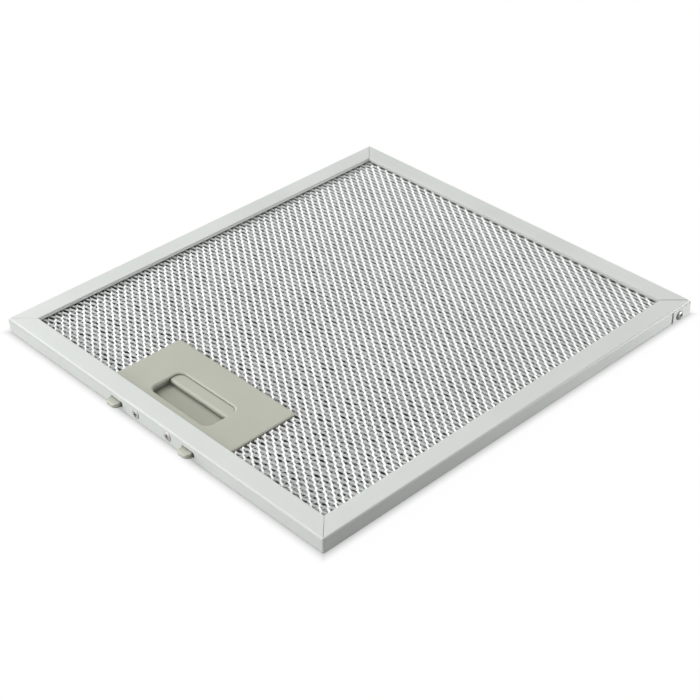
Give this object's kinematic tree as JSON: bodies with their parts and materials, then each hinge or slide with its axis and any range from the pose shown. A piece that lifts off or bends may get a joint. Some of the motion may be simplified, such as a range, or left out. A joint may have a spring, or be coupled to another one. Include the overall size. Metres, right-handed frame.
{
  "type": "cooker hood grease filter",
  "caption": "Flat rectangular metal grease filter for a cooker hood: expanded aluminium sheets in a folded frame, with a plastic finger-pull latch whose sprung tongues lock it into the hood.",
  "frame": {"origin": "centre of the frame's rectangle, in the plane of the rear flange's outer face on which the filter lies", "axes": "+Z out of the handle side, +Y from the latch edge to the back edge, +X along the latch edge"},
  "size_m": [0.2499, 0.2765, 0.009],
  "materials": {
    "frame_aluminium": "satin anodised sheet",
    "rivet_aluminium": "satin",
    "mesh_aluminium": "bright rolled",
    "foil_aluminium": "bright rolled foil",
    "handle_plastic": "fine satin moulding",
    "latch_plastic": "fine satin moulding",
    "spring_steel": "drawn wire",
    "screw_steel": "zinc plated"
  },
  "bodies": {
    "filter": {"frame": "frame_aluminium", "corner_rivet": "rivet_aluminium", "front_mesh": "mesh_aluminium", "inner_layer_1": "foil_aluminium", "inner_layer_2": "foil_aluminium", "inner_layer_3": "foil_aluminium", "rear_mesh": "mesh_aluminium", "handle_plate": "handle_plastic", "rear_cover": "handle_plastic", "spring_left": "spring_steel", "spring_right": "spring_steel", "handle_screws": "screw_steel"},
    "latch": {"latch_slide": "latch_plastic"}
  },
  "joints": [
    {"name": "latch_pull", "type": "slide", "parent": "filter", "child": "latch", "axis": [0, 1, 0], "range_m": [0, 0.005], "stiffness_N_per_m": 300, "deforming": ["spring_left", "spring_right"]}
  ]
}
